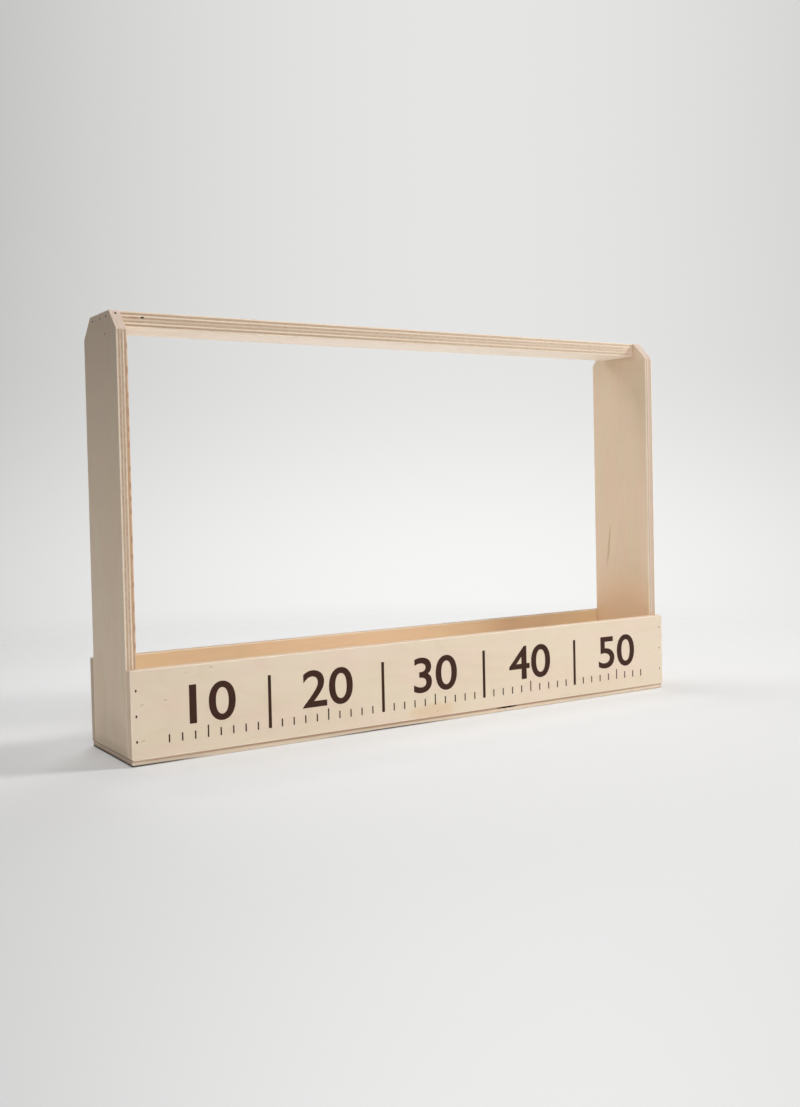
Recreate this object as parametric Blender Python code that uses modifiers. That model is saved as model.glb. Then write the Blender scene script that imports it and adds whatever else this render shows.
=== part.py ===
"""A bottle carrier nailed together from plywood boards.

Two uprights stand at the ends and a handle board joins their tops. A front panel, a back panel
and a bottom board close the trough between the uprights. Every joint is a butt joint held by
nails whose heads are sunk below the surface.

Metres, +Z up. X runs along the carrier from left to right, the front panel faces -Y, and the
origin lies on the floor in the middle of the carrier.
"""

import math

import bmesh
import bpy
from mathutils import Vector

MM = 0.001

# Clear space inside the trough
TROUGH_LENGTH = 500 * MM
TROUGH_WIDTH = 73 * MM

# Boards. Heights are measured from the floor.
UPRIGHT_THICKNESS = 8 * MM
UPRIGHT_TOP = 324 * MM
CORNER_CUT = 15.5 * MM
PANEL_THICKNESS = 8 * MM
PANEL_TOP = 68 * MM
HANDLE_THICKNESS = 12 * MM
HANDLE_WIDTH = 40 * MM
BOTTOM_THICKNESS = 4 * MM
BOTTOM_SHORT_RIGHT = 1.5 * MM
BOTTOM_SHORT_BACK = 2 * MM
EASED_EDGE = 0.5 * MM
EASE_SEGMENTS = 2
JOINT_GAP = 0.3 * MM

# Shape of a nail, and the room around it in its hole
NAIL_WIRE_RADIUS = 0.6 * MM
NAIL_HEAD_RADIUS = 0.8 * MM
NAIL_HEAD_HEIGHT = 0.9 * MM
NAIL_NECK = 0.4 * MM
NAIL_POINT = 2 * MM
NAIL_SUNK = 0.6 * MM
NAIL_CLEARANCE = 0.3 * MM
NAIL_SIDES = 12
CUTTER_PROUD = 2 * MM
MERGE_DISTANCE = 0.01 * MM
SHARP_ANGLE = math.radians(30)

# Nails through each end of a panel, in a row between two margins of the panel
PANEL_NAIL_LENGTH = 20 * MM
PANEL_NAILS = 3
LEFT_ROW_BOTTOM_MARGIN = 13 * MM
LEFT_ROW_TOP_MARGIN = 14.5 * MM
RIGHT_ROW_BOTTOM_MARGIN = 14 * MM
RIGHT_ROW_TOP_MARGIN = 11 * MM

# Nails through an upright into the handle's end, spaced by eye: shares of the row's length
HANDLE_NAIL_LENGTH = 25 * MM
HANDLE_NAIL_BELOW_TOP = 4 * MM
HANDLE_ROW_MARGIN = 5.5 * MM
HANDLE_NAIL_SHARES = (0.0, 0.42, 0.74, 1.0)

# Nails through the bottom board, along each panel and into each upright's lower end
BOTTOM_NAIL_LENGTH = 16 * MM
BOTTOM_SIDE_NAILS = 5
BOTTOM_SIDE_MARGIN = 30 * MM
BOTTOM_END_NAILS = 2
BOTTOM_END_MARGIN = 28 * MM

# Faces that several pieces share
INNER_X = TROUGH_LENGTH / 2
OUTER_X = INNER_X + UPRIGHT_THICKNESS
INNER_Y = TROUGH_WIDTH / 2
OUTER_Y = INNER_Y + PANEL_THICKNESS
BOARDS_LOW = BOTTOM_THICKNESS + JOINT_GAP
BOTTOM_RIGHT = OUTER_X - BOTTOM_SHORT_RIGHT
BOTTOM_BACK = OUTER_Y - BOTTOM_SHORT_BACK

# Linear colours
PANEL_COLOUR = (0.70, 0.56, 0.41)
UPRIGHT_COLOUR = (0.63, 0.49, 0.34)
HANDLE_COLOUR = (0.66, 0.52, 0.37)
BOTTOM_COLOUR = (0.64, 0.48, 0.33)
STEEL_COLOUR = (0.20, 0.17, 0.14)


def clear_scene():
    for obj in list(bpy.data.objects):
        bpy.data.objects.remove(obj)


def new_collection(name, parent):
    collection = bpy.data.collections.new(name)
    parent.children.link(collection)
    return collection


def finish(name, colour, roughness, metallic=0.0):
    """Material of one finish."""
    material = bpy.data.materials.new(name)
    material.use_nodes = True
    shader = material.node_tree.nodes["Principled BSDF"]
    shader.inputs["Base Color"].default_value = (*colour, 1.0)
    shader.inputs["Roughness"].default_value = roughness
    shader.inputs["Metallic"].default_value = metallic
    return material


def evenly(first, last, count):
    """Places of a row of nails from first to last."""
    step = (last - first) / (count - 1)
    return [first + step * i for i in range(count)]


def take_mesh(source, name):
    """Mesh of an object as its modifiers leave it. The object is removed."""
    graph = bpy.context.evaluated_depsgraph_get()
    mesh = bpy.data.meshes.new_from_object(source.evaluated_get(graph))
    mesh.name = name
    bpy.data.objects.remove(source)
    return mesh


def weld(mesh):
    shape = bmesh.new()
    shape.from_mesh(mesh)
    bmesh.ops.remove_doubles(shape, verts=shape.verts, dist=MERGE_DISTANCE)
    shape.to_mesh(mesh)
    shape.free()


def turned_mesh(name, profile):
    """Mesh turned around Z from (radius, height) points that run from the axis down the outside."""
    outline = bpy.data.meshes.new(name)
    points = [(radius, 0, height) for radius, height in profile]
    outline.from_pydata(points, [(i, i + 1) for i in range(len(points) - 1)], [])
    blank = bpy.data.objects.new(name, outline)
    bpy.context.scene.collection.objects.link(blank)
    screw = blank.modifiers.new("Turned", "SCREW")
    screw.steps = NAIL_SIDES
    screw.render_steps = NAIL_SIDES
    screw.use_merge_vertices = True
    screw.merge_threshold = MERGE_DISTANCE
    mesh = take_mesh(blank, name)
    mesh.shade_smooth()
    mesh.set_sharp_from_angle(angle=SHARP_ANGLE)
    return mesh


def nail_mesh(name, length):
    """Nail that hangs down from the origin, which is the middle of its head's top."""
    under_head = -NAIL_HEAD_HEIGHT
    return turned_mesh(
        name,
        [
            (0, 0),
            (NAIL_HEAD_RADIUS, 0),
            (NAIL_HEAD_RADIUS, under_head),
            (NAIL_WIRE_RADIUS, under_head - NAIL_NECK),
            (NAIL_WIRE_RADIUS, NAIL_POINT - length),
            (0, -length),
        ],
    )


def hole_mesh(name, length):
    """Cutter for the hole of such a nail, wide enough above for the head to sink in."""
    mouth = NAIL_HEAD_RADIUS + NAIL_CLEARANCE
    bore = NAIL_WIRE_RADIUS + NAIL_CLEARANCE
    under_head = -NAIL_HEAD_HEIGHT
    top = NAIL_SUNK + CUTTER_PROUD
    bottom = -length - NAIL_CLEARANCE
    return turned_mesh(
        name,
        [
            (0, top),
            (mouth, top),
            (mouth, under_head),
            (bore, under_head - NAIL_NECK),
            (bore, bottom),
            (0, bottom),
        ],
    )


def ease_edges(board):
    bevel = board.modifiers.new("Eased edges", "BEVEL")
    bevel.width = EASED_EDGE
    bevel.segments = EASE_SEGMENTS
    bevel.limit_method = "ANGLE"
    bevel.angle_limit = SHARP_ANGLE


class Carrier:
    """The carrier's collections, and the making of its boards and nails."""

    def __init__(self):
        scene = bpy.context.scene.collection
        self.parts = new_collection("bottle_carrier", scene)
        self.cutters = new_collection("nail_hole_cutters", scene)
        self.steel = finish("nail_steel", STEEL_COLOUR, 0.45, 1.0)
        self.nail_shapes = {}

    def add_board(self, name, mesh, material):
        """Board with eased edges, and holes wherever a nail is driven into it."""
        board = bpy.data.objects.new(name, mesh)
        mesh.materials.append(material)
        self.parts.objects.link(board)
        ease_edges(board)
        holes = board.modifiers.new("Nail holes", "BOOLEAN")
        holes.operation = "DIFFERENCE"
        holes.solver = "EXACT"
        holes.operand_type = "COLLECTION"
        holes.collection = new_collection(name + "_holes", self.cutters)
        return board

    def box_board(self, name, low, high, material):
        """Square-cut board between two opposite corners."""
        low, high = Vector(low), Vector(high)
        mesh = bpy.data.meshes.new(name)
        shape = bmesh.new()
        bmesh.ops.create_cube(shape, size=1)
        bmesh.ops.scale(shape, vec=high - low, verts=shape.verts)
        shape.to_mesh(mesh)
        shape.free()
        board = self.add_board(name, mesh, material)
        board.location = (low + high) / 2
        return board

    def upright(self, name, side, material):
        """Upright whose two top corners are cut off, at side -1 (left) or 1 (right)."""
        half = INNER_Y - JOINT_GAP
        shoulder = UPRIGHT_TOP - CORNER_CUT
        outline = [
            (-half, BOARDS_LOW),
            (half, BOARDS_LOW),
            (half, shoulder),
            (half - CORNER_CUT, UPRIGHT_TOP),
            (CORNER_CUT - half, UPRIGHT_TOP),
            (-half, shoulder),
        ]
        curve = bpy.data.curves.new(name, "CURVE")
        curve.dimensions = "2D"
        curve.fill_mode = "BOTH"
        curve.extrude = UPRIGHT_THICKNESS / 2
        spline = curve.splines.new("POLY")
        spline.points.add(len(outline) - 1)
        for point, (across, height) in zip(spline.points, outline):
            point.co = (across, height, 0, 1)
        spline.use_cyclic_u = True
        blank = bpy.data.objects.new(name, curve)
        self.parts.objects.link(blank)
        blank.location.x = side * (INNER_X + UPRIGHT_THICKNESS / 2)
        blank.rotation_euler = (math.radians(90), 0, math.radians(90))
        bpy.context.view_layer.update()
        place = blank.matrix_world.copy()
        mesh = take_mesh(blank, name)
        weld(mesh)
        board = self.add_board(name, mesh, material)
        board.matrix_world = place
        return board

    def nail_shape(self, length):
        """Meshes of a nail and of its hole's cutter, made once for each length."""
        if length not in self.nail_shapes:
            label = f"nail_{length / MM:.0f}mm"
            self.nail_shapes[length] = (nail_mesh(label, length), hole_mesh(label + "_hole", length))
            self.nail_shapes[length][0].materials.append(self.steel)
        return self.nail_shapes[length]

    def drive_nail(self, name, entry, direction, length, boards):
        """Nail driven in at entry, a point on a board's surface, and its hole through the boards."""
        nail_shape, hole_shape = self.nail_shape(length)
        direction = Vector(direction)
        nail = bpy.data.objects.new(name, nail_shape)
        hole = bpy.data.objects.new(name + "_hole", hole_shape)
        for obj in (nail, hole):
            obj.rotation_euler = direction.to_track_quat("-Z", "Y").to_euler()
            obj.location = Vector(entry) + direction * NAIL_SUNK
        self.parts.objects.link(nail)
        hole.hide_render = True
        hole.display_type = "WIRE"
        for board in boards:
            board.modifiers["Nail holes"].collection.objects.link(hole)


def nail_panel(carrier, panel, uprights, face):
    """Nails a panel to the edges of both uprights. face is -1 for the front, 1 for the back."""
    rows = (
        ("left", -1, uprights[0], LEFT_ROW_BOTTOM_MARGIN, LEFT_ROW_TOP_MARGIN),
        ("right", 1, uprights[1], RIGHT_ROW_BOTTOM_MARGIN, RIGHT_ROW_TOP_MARGIN),
    )
    wall = "front" if face < 0 else "back"
    for end, side, upright, bottom_margin, top_margin in rows:
        x = side * (INNER_X + OUTER_X) / 2
        heights = evenly(BOARDS_LOW + bottom_margin, PANEL_TOP - top_margin, PANEL_NAILS)
        for number, height in enumerate(heights, 1):
            carrier.drive_nail(
                f"{wall}_{end}_nail_{number}",
                (x, face * OUTER_Y, height),
                (0, -face, 0),
                PANEL_NAIL_LENGTH,
                (panel, upright),
            )


def nail_handle(carrier, handle, uprights):
    """Nails through both uprights into the handle's ends."""
    reach = HANDLE_WIDTH / 2 - HANDLE_ROW_MARGIN
    height = UPRIGHT_TOP - HANDLE_NAIL_BELOW_TOP
    for end, side, upright in (("left", -1, uprights[0]), ("right", 1, uprights[1])):
        for number, share in enumerate(HANDLE_NAIL_SHARES, 1):
            carrier.drive_nail(
                f"handle_{end}_nail_{number}",
                (side * OUTER_X, reach * (2 * share - 1), height),
                (-side, 0, 0),
                HANDLE_NAIL_LENGTH,
                (upright, handle),
            )


def nail_bottom(carrier, bottom, panels, uprights):
    """Nails from below, in the middle of where the bottom board covers each other board's edge."""
    reach = INNER_X - BOTTOM_SIDE_MARGIN
    lines = (("front", -(INNER_Y + OUTER_Y) / 2, panels[0]), ("back", (INNER_Y + BOTTOM_BACK) / 2, panels[1]))
    for wall, y, panel in lines:
        for number, x in enumerate(evenly(-reach, reach, BOTTOM_SIDE_NAILS), 1):
            name = f"bottom_{wall}_nail_{number}"
            carrier.drive_nail(name, (x, y, 0), (0, 0, 1), BOTTOM_NAIL_LENGTH, (bottom, panel))
    reach = INNER_Y - BOTTOM_END_MARGIN
    lines = (("left", -(INNER_X + OUTER_X) / 2, uprights[0]), ("right", (INNER_X + BOTTOM_RIGHT) / 2, uprights[1]))
    for end, x, upright in lines:
        for number, y in enumerate(evenly(-reach, reach, BOTTOM_END_NAILS), 1):
            name = f"bottom_{end}_nail_{number}"
            carrier.drive_nail(name, (x, y, 0), (0, 0, 1), BOTTOM_NAIL_LENGTH, (bottom, upright))


def main():
    clear_scene()
    carrier = Carrier()
    upright_birch = finish("upright_birch", UPRIGHT_COLOUR, 0.62)
    panel_birch = finish("panel_birch", PANEL_COLOUR, 0.60)
    bottom = carrier.box_board(
        "bottom_board",
        (-OUTER_X, -OUTER_Y, 0),
        (BOTTOM_RIGHT, BOTTOM_BACK, BOTTOM_THICKNESS),
        finish("bottom_birch", BOTTOM_COLOUR, 0.68),
    )
    uprights = (
        carrier.upright("left_upright", -1, upright_birch),
        carrier.upright("right_upright", 1, upright_birch),
    )
    panels = (
        carrier.box_board(
            "front_panel", (-OUTER_X, -OUTER_Y, BOARDS_LOW), (OUTER_X, -INNER_Y, PANEL_TOP), panel_birch
        ),
        carrier.box_board(
            "back_panel", (-OUTER_X, INNER_Y, BOARDS_LOW), (OUTER_X, OUTER_Y, PANEL_TOP), panel_birch
        ),
    )
    handle = carrier.box_board(
        "handle_board",
        (JOINT_GAP - INNER_X, -HANDLE_WIDTH / 2, UPRIGHT_TOP - HANDLE_THICKNESS),
        (INNER_X - JOINT_GAP, HANDLE_WIDTH / 2, UPRIGHT_TOP),
        finish("handle_birch", HANDLE_COLOUR, 0.60),
    )
    for panel, face in zip(panels, (-1, 1)):
        nail_panel(carrier, panel, uprights, face)
    nail_handle(carrier, handle, uprights)
    nail_bottom(carrier, bottom, panels, uprights)


main()
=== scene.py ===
"""Looks of a nailed plywood bottle carrier.

The file is laid out as an add-on and is run as a script. Each operator dresses one piece of the
carrier, or one group of like pieces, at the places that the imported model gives. Metres, +Z up.
"""

import math
from contextlib import contextmanager
from dataclasses import dataclass

import bmesh
import bpy
from bpy.props import FloatProperty, FloatVectorProperty, IntProperty, PointerProperty
from bpy.types import Operator, Panel, PropertyGroup
from mathutils import Color, Matrix, Vector


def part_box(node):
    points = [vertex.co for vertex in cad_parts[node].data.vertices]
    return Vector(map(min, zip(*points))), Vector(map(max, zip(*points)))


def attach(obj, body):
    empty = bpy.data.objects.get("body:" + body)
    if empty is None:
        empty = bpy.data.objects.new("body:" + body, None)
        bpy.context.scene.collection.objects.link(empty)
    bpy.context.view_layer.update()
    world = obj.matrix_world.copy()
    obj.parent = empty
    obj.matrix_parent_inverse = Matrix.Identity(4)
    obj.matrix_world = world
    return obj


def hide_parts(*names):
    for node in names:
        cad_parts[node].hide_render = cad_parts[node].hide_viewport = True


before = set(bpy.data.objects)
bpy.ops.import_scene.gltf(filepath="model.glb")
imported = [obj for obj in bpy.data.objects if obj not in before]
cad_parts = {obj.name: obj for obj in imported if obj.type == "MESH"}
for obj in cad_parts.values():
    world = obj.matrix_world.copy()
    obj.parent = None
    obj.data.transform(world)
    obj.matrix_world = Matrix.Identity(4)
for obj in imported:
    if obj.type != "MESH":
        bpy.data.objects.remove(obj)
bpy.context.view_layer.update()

bl_info = {
    "name": "Plywood Bottle Carrier",
    "version": (1, 0, 0),
    "blender": (4, 5, 0),
    "location": "View3D > Sidebar > Carrier",
    "description": "Dresses the boards, nails and print of a plywood bottle carrier",
    "category": "Object",
}

MM = 0.001
X, Y, Z = 0, 1, 2
CAD_GAP = 0.3 * MM
SHARP = math.radians(30)
WELD = 0.002 * MM


def board_box(node):
    """Two corners of a board in millimetres."""
    return [[value / MM for value in corner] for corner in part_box(node)]


FRONT_PANEL = board_box("front_panel")
BACK_PANEL = board_box("back_panel")
LEFT_UPRIGHT = board_box("left_upright")
RIGHT_UPRIGHT = board_box("right_upright")
HANDLE = board_box("handle_board")
BOTTOM = board_box("bottom_board")


def length_property(name, description, millimetres):
    return FloatProperty(
        name=name, description=description, default=millimetres * MM, min=0, precision=5,
        unit="LENGTH", subtype="DISTANCE",
    )


def colour_property(name, description, default):
    return FloatVectorProperty(
        name=name, description=description, default=default, size=3, min=0, max=1, subtype="COLOR"
    )


def power_property(name, description, default):
    return FloatProperty(name=name, description=description, default=default, unit="POWER")


class CarrierBoardSettings(PropertyGroup):
    corner_cut: length_property("Corner cut", "Leg of the 45 degree cut at an upright's top corners", 15.5)
    eased_edge: length_property("Eased edge", "Radius that sanding leaves on a board's edges", 0.45)
    joint_line: length_property("Joint line", "Open line between two boards that are nailed together", 0.1)
    ply_relief: length_property("Ply relief", "Depth by which sanding hollows the cross plies", 0.04)
    saw_waver: length_property("Saw waver", "How far an edge wanders from straight", 0.12)
    slice_length: length_property("Slice length", "Spacing of the cuts that let an edge waver", 8)
    thick_plies: IntProperty(name="Handle plies", description="Veneers in the handle board", default=9)
    wall_plies: IntProperty(name="Wall plies", description="Veneers in a panel or an upright", default=7)
    thin_plies: IntProperty(name="Bottom plies", description="Veneers in the bottom board", default=3)


class CarrierNailSettings(PropertyGroup):
    head_width: length_property("Head width", "Short way across a brad's oval head", 1.0)
    head_length: length_property("Head length", "Long way across a brad's oval head", 1.5)
    head_height: length_property("Head height", "Thickness of the head", 0.8)
    wire_width: length_property("Wire width", "Thickness of the brad's wire", 0.9)
    point: length_property("Point", "Length of the tapered point", 1.6)
    sunk: length_property("Sunk", "Depth of the head below the board's face", 0.6)
    clearance: length_property("Clearance", "Room around the head in its hole", 0.08)
    torn_depth: length_property("Torn depth", "Depth of the torn fibres round a hole's mouth", 0.15)
    torn_reach: length_property("Torn reach", "Width of the torn fibres round a hole's mouth", 0.12)


class CarrierColourSettings(PropertyGroup):
    panel: colour_property("Panel face", "Outer veneer of the panels", (0.782, 0.653, 0.514))
    upright: colour_property("Upright face", "Outer veneer of the uprights", (0.713, 0.579, 0.443))
    upright_inner: colour_property("Upright inside", "Inner veneer of the uprights", (0.785, 0.626, 0.463))
    handle: colour_property("Handle face", "Upper veneer of the handle", (0.78, 0.65, 0.50))
    # Underside of the handle, made paler by a painted reflection of the bright floor below.
    handle_under: colour_property("Handle underside", "Paler veneer under the handle", (0.965, 0.855, 0.735))
    inner: colour_property("Inner face", "Warmer veneer inside the trough", (0.82, 0.61, 0.395))
    bottom: colour_property("Bottom face", "Veneer of the bottom board", (0.70, 0.54, 0.38))
    long_ply: colour_property("Long ply", "Ply whose grain runs along the cut edge", (0.77, 0.63, 0.48))
    cross_ply: colour_property("Cross ply", "Ply whose end grain shows in the cut edge", (0.54, 0.395, 0.28))
    thin_ply: colour_property("Thin ply", "Dark outer plies of the bottom board", (0.35, 0.21, 0.125))
    glue: colour_property("Glue line", "Glue between two plies", (0.32, 0.20, 0.12))
    # Paler wood of the eased edges and cut corners: partly sanded wood, partly a painted highlight
    sanded: colour_property("Sanded wood", "Pale wood on sanded edges", (0.94, 0.82, 0.68))
    corner: colour_property("Cut corner", "Pinkish wood of the uprights' cut corners", (0.68, 0.51, 0.455))
    grain: colour_property("Grain", "Darker wood of the rings and fibres", (0.58, 0.41, 0.26))
    fleck: colour_property("Fleck", "Pith flecks and streaks", (0.30, 0.18, 0.10))
    # Near-black walls of nail holes and core gaps: crushed fibres, and painted shade in the hollow
    bored: colour_property("Bored wood", "Crushed fibres in holes and gaps", (0.03, 0.017, 0.008))
    # Painted shade: the dark line along the lower rims, where the boards meet the floor, and where the left
    # upright stands on the bottom board
    painted_contact_shade: colour_property("Soil", "Dirt along the lower rim", (0.035, 0.024, 0.017))
    ink: colour_property("Ink", "Brown printing ink", (0.046, 0.017, 0.010))
    worn_ink: colour_property("Worn ink", "Paler ink where it is worn", (0.08, 0.042, 0.032))
    steel: colour_property("Steel", "Dull wire of the brads", (0.045, 0.033, 0.022))
    rust: colour_property("Rust", "Brown bloom on the wire", (0.10, 0.05, 0.022))
    blot: colour_property("Blot", "Reddish blots in the cut edges", (0.46, 0.25, 0.15))


class CarrierRuleSettings(PropertyGroup):
    low: length_property("Low edge", "Height of the print's lower edge", 14)
    high: length_property("High edge", "Height of the print's upper edge", 54)
    numeral: length_property("Numeral height", "Height of the numbers", 29)
    bar: length_property("Bar width", "Width of the bar at each ten centimetres", 2.6)
    tick: length_property("Tick width", "Width of the tick at each centimetre", 1.1)
    tick_height: length_property("Tick height", "Height of a centimetre tick", 6)
    half_height: length_property("Half tick height", "Height of the tick at each five centimetres", 9)
    film: length_property("Ink film", "Thickness of the ink on the wood", 0.05)
    weight: FloatProperty(
        name="Weight", description="How far the numbers are fattened, as a share of their size",
        default=0.012, min=0, max=1, subtype="FACTOR",
    )


class CarrierStudioSettings(PropertyGroup):
    floor: colour_property("Floor", "Pale paper under the carrier", (0.89, 0.89, 0.89))
    backdrop: colour_property("Backdrop", "Pale paper behind the carrier", (1.0, 1.0, 0.99))
    top_power: power_property("Top lamp", "Soft lamp above and behind", 3.0)
    side_power: power_property("Side lamp", "Soft lamp at the right", 133)
    front_power: power_property("Front lamp", "Broad lamp in front", 50)
    high_power: power_property("High lamp", "Broad lamp high above", 8)
    fill: FloatProperty(name="Fill", description="Light from the left", default=1.02, min=0)
    card_power: power_property("Floor card", "Pale card behind the carrier that faces up", 0.75)


# Selecting and shaping


def select_only(*pieces):
    bpy.ops.object.select_all(action="DESELECT")
    for piece in pieces:
        piece.select_set(True)
    bpy.context.view_layer.objects.active = pieces[0]


@contextmanager
def editing(piece, kind="FACE", action="DESELECT"):
    """Edit mode on one piece, with nothing or everything selected at first."""
    select_only(piece)
    bpy.ops.object.mode_set(mode="EDIT")
    bpy.ops.mesh.select_mode(type=kind)
    bpy.ops.mesh.select_all(action=action)
    yield
    bpy.ops.object.mode_set(mode="OBJECT")


def pick(piece, part, test):
    """Selects those of a piece's "faces" or "edges" that pass the test."""
    bpy.ops.mesh.select_all(action="DESELECT")
    shape = bmesh.from_edit_mesh(piece.data)
    for item in getattr(shape, part):
        if test(item):
            item.select_set(True)
    bmesh.update_edit_mesh(piece.data)


def name_last(name):
    piece = bpy.context.object
    piece.name = name
    piece.data.name = name
    return piece


def apply_modifier(piece, kind, **settings):
    select_only(piece)
    modifier = piece.modifiers.new(kind.title(), kind)
    for key, value in settings.items():
        setattr(modifier, key, value)
    bpy.ops.object.modifier_apply(modifier=modifier.name)


def add_shape(name, operator, **settings):
    """New piece from one of the basic shapes, with its place in its mesh."""
    bpy.ops.object.select_all(action="DESELECT")
    operator(**settings)
    bpy.ops.object.transform_apply(location=True, rotation=True, scale=True)
    return name_last(name)


def block(name, low, high):
    """Box between two corners."""
    middle = (low + high) / 2
    return add_shape(name, bpy.ops.mesh.primitive_cube_add, size=1, location=middle, scale=high - low)


def rod(name, sides, radius, low, high):
    """Round rod between two heights."""
    return add_shape(
        name, bpy.ops.mesh.primitive_cylinder_add,
        vertices=sides, radius=radius, depth=high - low, location=(0, 0, (low + high) / 2),
    )


def pull(distance):
    """Extrudes what is selected along Z."""
    bpy.ops.mesh.extrude_region_move(TRANSFORM_OT_translate={"value": (0, 0, distance)})


def slice_piece(piece, axis, places):
    """Adds a ring of edges round the piece at each place along an axis."""
    across = Vector()
    across[axis] = 1
    with editing(piece):
        for place in places:
            bpy.ops.mesh.select_all(action="SELECT")
            bpy.ops.mesh.bisect(plane_co=across * place, plane_no=across)


def waver(piece, axes, amount):
    """Lets the edges wander along the given axes, as a saw and a sander leave them."""
    texture = bpy.data.textures.new("Saw waver", "CLOUDS")
    texture.noise_scale = 30 * MM
    settings = {"texture": texture, "texture_coords": "LOCAL", "strength": amount, "mid_level": 0.5}
    for axis in axes:
        apply_modifier(piece, "DISPLACE", direction="XYZ"[axis], **settings)


def cut(piece, cutters):
    """Takes the cutters' shapes out of the piece, marks their walls for the colour of crushed fibres and
    painted shade, and deletes them.
    """
    select_only(*cutters)
    bpy.ops.object.join()
    cutter = bpy.context.object
    for shape, bored in ((piece, 0.0), (cutter, 1.0)):
        layer = shape.data.attributes.new("bored", "FLOAT", "FACE")
        layer.data.foreach_set("value", [bored] * len(shape.data.polygons))
    apply_modifier(piece, "BOOLEAN", operation="DIFFERENCE", solver="EXACT", object=cutter)
    bpy.data.objects.remove(cutter)


def finish_shading(piece):
    """Rounds the eased edges while the broad faces stay flat."""
    select_only(piece)
    bpy.ops.object.shade_smooth_by_angle(angle=SHARP)
    apply_modifier(piece, "WEIGHTED_NORMAL", keep_sharp=True, weight=50)


def dress(piece, material, slot, *nodes):
    piece.data.materials.clear()
    piece.data.materials.append(material)
    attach(piece, "root")
    if nodes:
        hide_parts(*nodes)


# Materials


class Value:
    """Output of a node. Numbers can be added, subtracted, multiplied and divided."""

    def __init__(self, graph, socket):
        self.graph = graph
        self.socket = socket

    def __add__(self, other):
        return self.graph.math("ADD", self, other)

    def __sub__(self, other):
        return self.graph.math("SUBTRACT", self, other)

    def __rsub__(self, other):
        return self.graph.math("SUBTRACT", other, self)

    def __mul__(self, other):
        return self.graph.math("MULTIPLY", self, other)

    def __truediv__(self, other):
        return self.graph.math("DIVIDE", self, other)


class Graph:
    """Short calls for placing and joining the nodes of one tree."""

    def __init__(self, tree):
        self.tree = tree

    def feed(self, socket, value):
        if isinstance(value, Value):
            self.tree.links.new(value.socket, socket)
        elif socket.type == "RGBA":
            socket.default_value = (*value, 1.0)
        else:
            socket.default_value = value

    def fill(self, node, inputs):
        for key, value in inputs.items():
            self.feed(node.inputs[key], value)

    def put(self, kind, inputs=None, **settings):
        """New node, with its settings and what goes into it."""
        made = self.tree.nodes.new("ShaderNode" + kind)
        for key, value in settings.items():
            setattr(made, key, value)
        self.fill(made, inputs or {})
        return made

    def node(self, kind, inputs=None, output=0, **settings):
        """One output of a new node, by its name or number."""
        return Value(self, self.put(kind, inputs, **settings).outputs[output])

    def outputs(self, kind, inputs=None, **settings):
        """Outputs of a new node by their names."""
        return {socket.name: Value(self, socket) for socket in self.put(kind, inputs, **settings).outputs}

    def group(self, name, **inputs):
        """Outputs of a shared group. An underscore stands for the space in an input's name."""
        sockets = {key.replace("_", " "): value for key, value in inputs.items()}
        return self.outputs("Group", sockets, node_tree=shared_group(name))

    def math(self, operation, a, b=0.0, clamp=False):
        return self.node("Math", {0: a, 1: b}, operation=operation, use_clamp=clamp)

    def vector_math(self, operation, a, b=(0, 0, 0), output=0):
        return self.node("VectorMath", {0: a, 1: b}, output, operation=operation)

    def smooth(self, value, low, high, to_low=0.0, to_high=1.0, kind="SMOOTHSTEP"):
        """Goes from to_low to to_high while value goes from low to high."""
        sockets = {"Value": value, "From Min": low, "From Max": high, "To Min": to_low, "To Max": to_high}
        return self.node("MapRange", sockets, "Result", interpolation_type=kind)

    def mix(self, factor, a, b, blend="MIX"):
        """Mixes two colours."""
        return self.node("Mix", {0: factor, 6: a, 7: b}, 2, data_type="RGBA", blend_type=blend)

    def blend(self, factor, a, b):
        """Mixes two numbers."""
        return self.node("Mix", {0: factor, 2: a, 3: b}, data_type="FLOAT")

    def scaled(self, vector, scale):
        """Vector or colour times one number, or times one for each axis."""
        plain = isinstance(scale, (int, float))
        return self.vector_math("MULTIPLY", vector, (scale,) * 3 if plain else scale)

    def noise(self, vector, scale, detail=2, roughness=0.5):
        """Noise with one scale, or one for each axis, in cells to the metre."""
        sockets = {"Vector": self.scaled(vector, scale), "Scale": 1, "Detail": detail, "Roughness": roughness}
        return self.node("TexNoise", sockets, "Fac")

    def bump(self, strength, distance, height):
        return self.node("Bump", {"Strength": strength, "Distance": distance, "Height": height})

    def split(self, vector):
        return tuple(self.outputs("SeparateXYZ", {0: vector}).values())

    def join(self, x, y, z):
        return self.node("CombineXYZ", {0: x, 1: y, 2: z})


def new_material(name):
    """New material, with a graph for its nodes and its shader."""
    material = bpy.data.materials.new(name)
    material.use_nodes = True
    graph = Graph(material.node_tree)
    return material, graph, graph.tree.nodes["Principled BSDF"]


def shader_group(name, inputs, outputs):
    """Graph of a new node group, what comes in and the sockets that lead out."""
    tree = bpy.data.node_groups.new(name, "ShaderNodeTree")
    for way, kinds in (("INPUT", inputs), ("OUTPUT", outputs)):
        for kind, labels in kinds.items():
            for label in labels:
                tree.interface.new_socket(label, in_out=way, socket_type="NodeSocket" + kind)
    graph = Graph(tree)
    entry = tree.nodes.new("NodeGroupInput")
    given = {socket.name: Value(graph, socket) for socket in entry.outputs}
    return graph, given, tree.nodes.new("NodeGroupOutput")


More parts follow.
